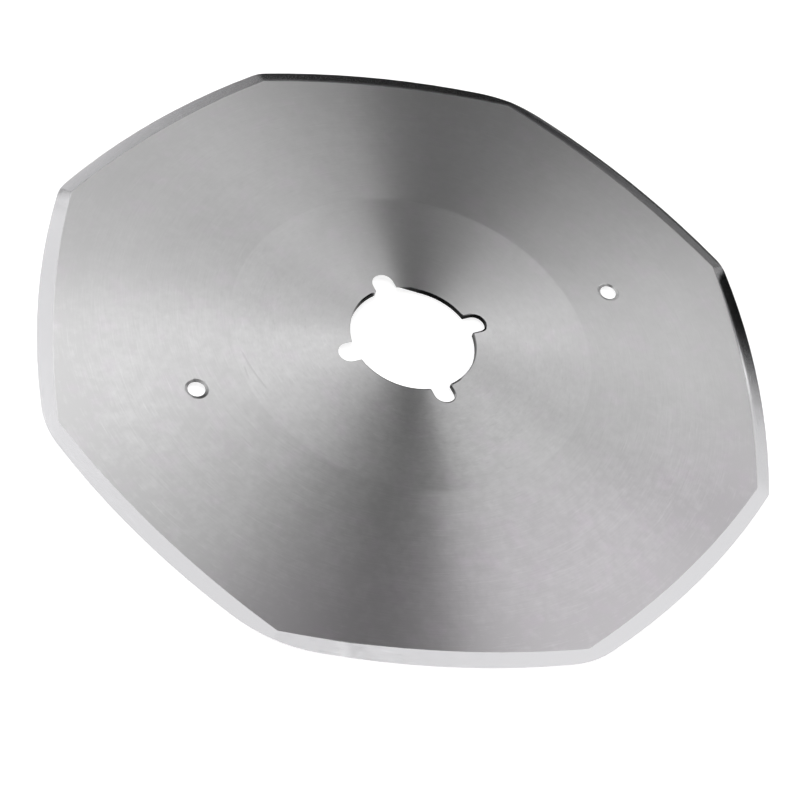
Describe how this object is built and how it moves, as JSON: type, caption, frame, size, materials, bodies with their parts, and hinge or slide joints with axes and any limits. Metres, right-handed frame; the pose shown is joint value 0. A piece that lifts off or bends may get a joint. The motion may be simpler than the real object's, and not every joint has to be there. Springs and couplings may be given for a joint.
{
  "type": "octagonal rotary cutter blade",
  "caption": "Thin flat octagonal rotary blade for a fabric cutter, with bowed sides ground to a one-sided bevel, a notched drive bore and small pin holes beside it.",
  "frame": {"origin": "centre of the drive bore, in the plane of the flat back", "axes": "+Z along the bore axis, out of the ground face; +X through one of the two pin holes"},
  "size_m": [0.0995, 0.0993, 0.0007],
  "materials": {
    "blade_steel": "ground and brushed tool steel, bright on the bevel"
  },
  "bodies": {
    "root": {"fabric_cutter_blade": "blade_steel"}
  },
  "joints": []
}
